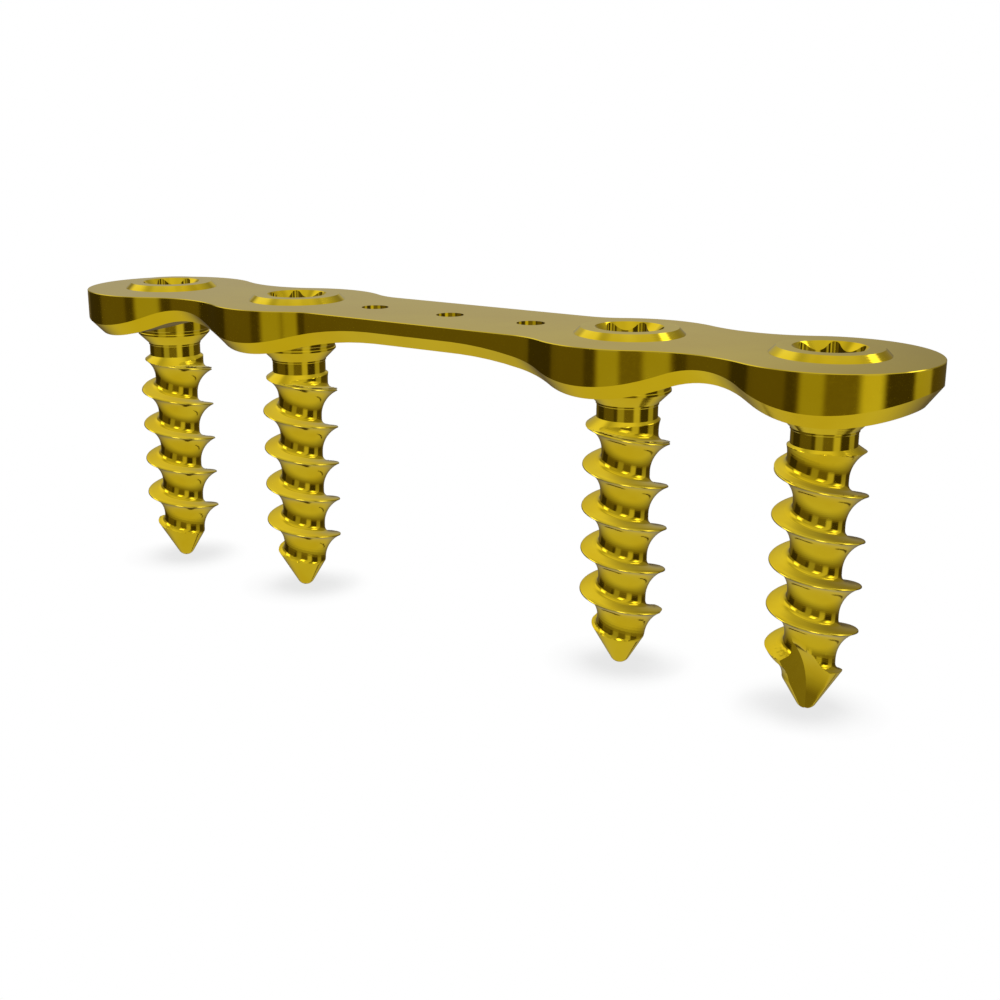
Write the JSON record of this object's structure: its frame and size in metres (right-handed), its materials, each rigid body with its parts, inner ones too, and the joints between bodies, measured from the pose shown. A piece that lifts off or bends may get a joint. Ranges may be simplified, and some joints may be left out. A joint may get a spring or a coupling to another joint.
{
  "type": "orthopedic bone plate with screws",
  "caption": "Small lobed bone plate with an arched underside, countersunk bone screws seated in its lobes and plain suture holes through its web.",
  "frame": {"origin": "on the axis of the centre hole, in the plate's flat top face", "axes": "+X along the row of screws, +Y across the plate, +Z out of the top face, away from the bone"},
  "size_m": [0.0322, 0.0062, 0.0109],
  "materials": {
    "gold_anodised_plate": "polished titanium with a gold anodised surface",
    "gold_anodised_screw": "polished titanium with a gold anodised surface"
  },
  "bodies": {
    "root": {"bone_plate": "gold_anodised_plate", "bone_screw_outer_left": "gold_anodised_screw", "bone_screw_inner_left": "gold_anodised_screw", "bone_screw_inner_right": "gold_anodised_screw", "bone_screw_outer_right": "gold_anodised_screw"}
  },
  "joints": []
}
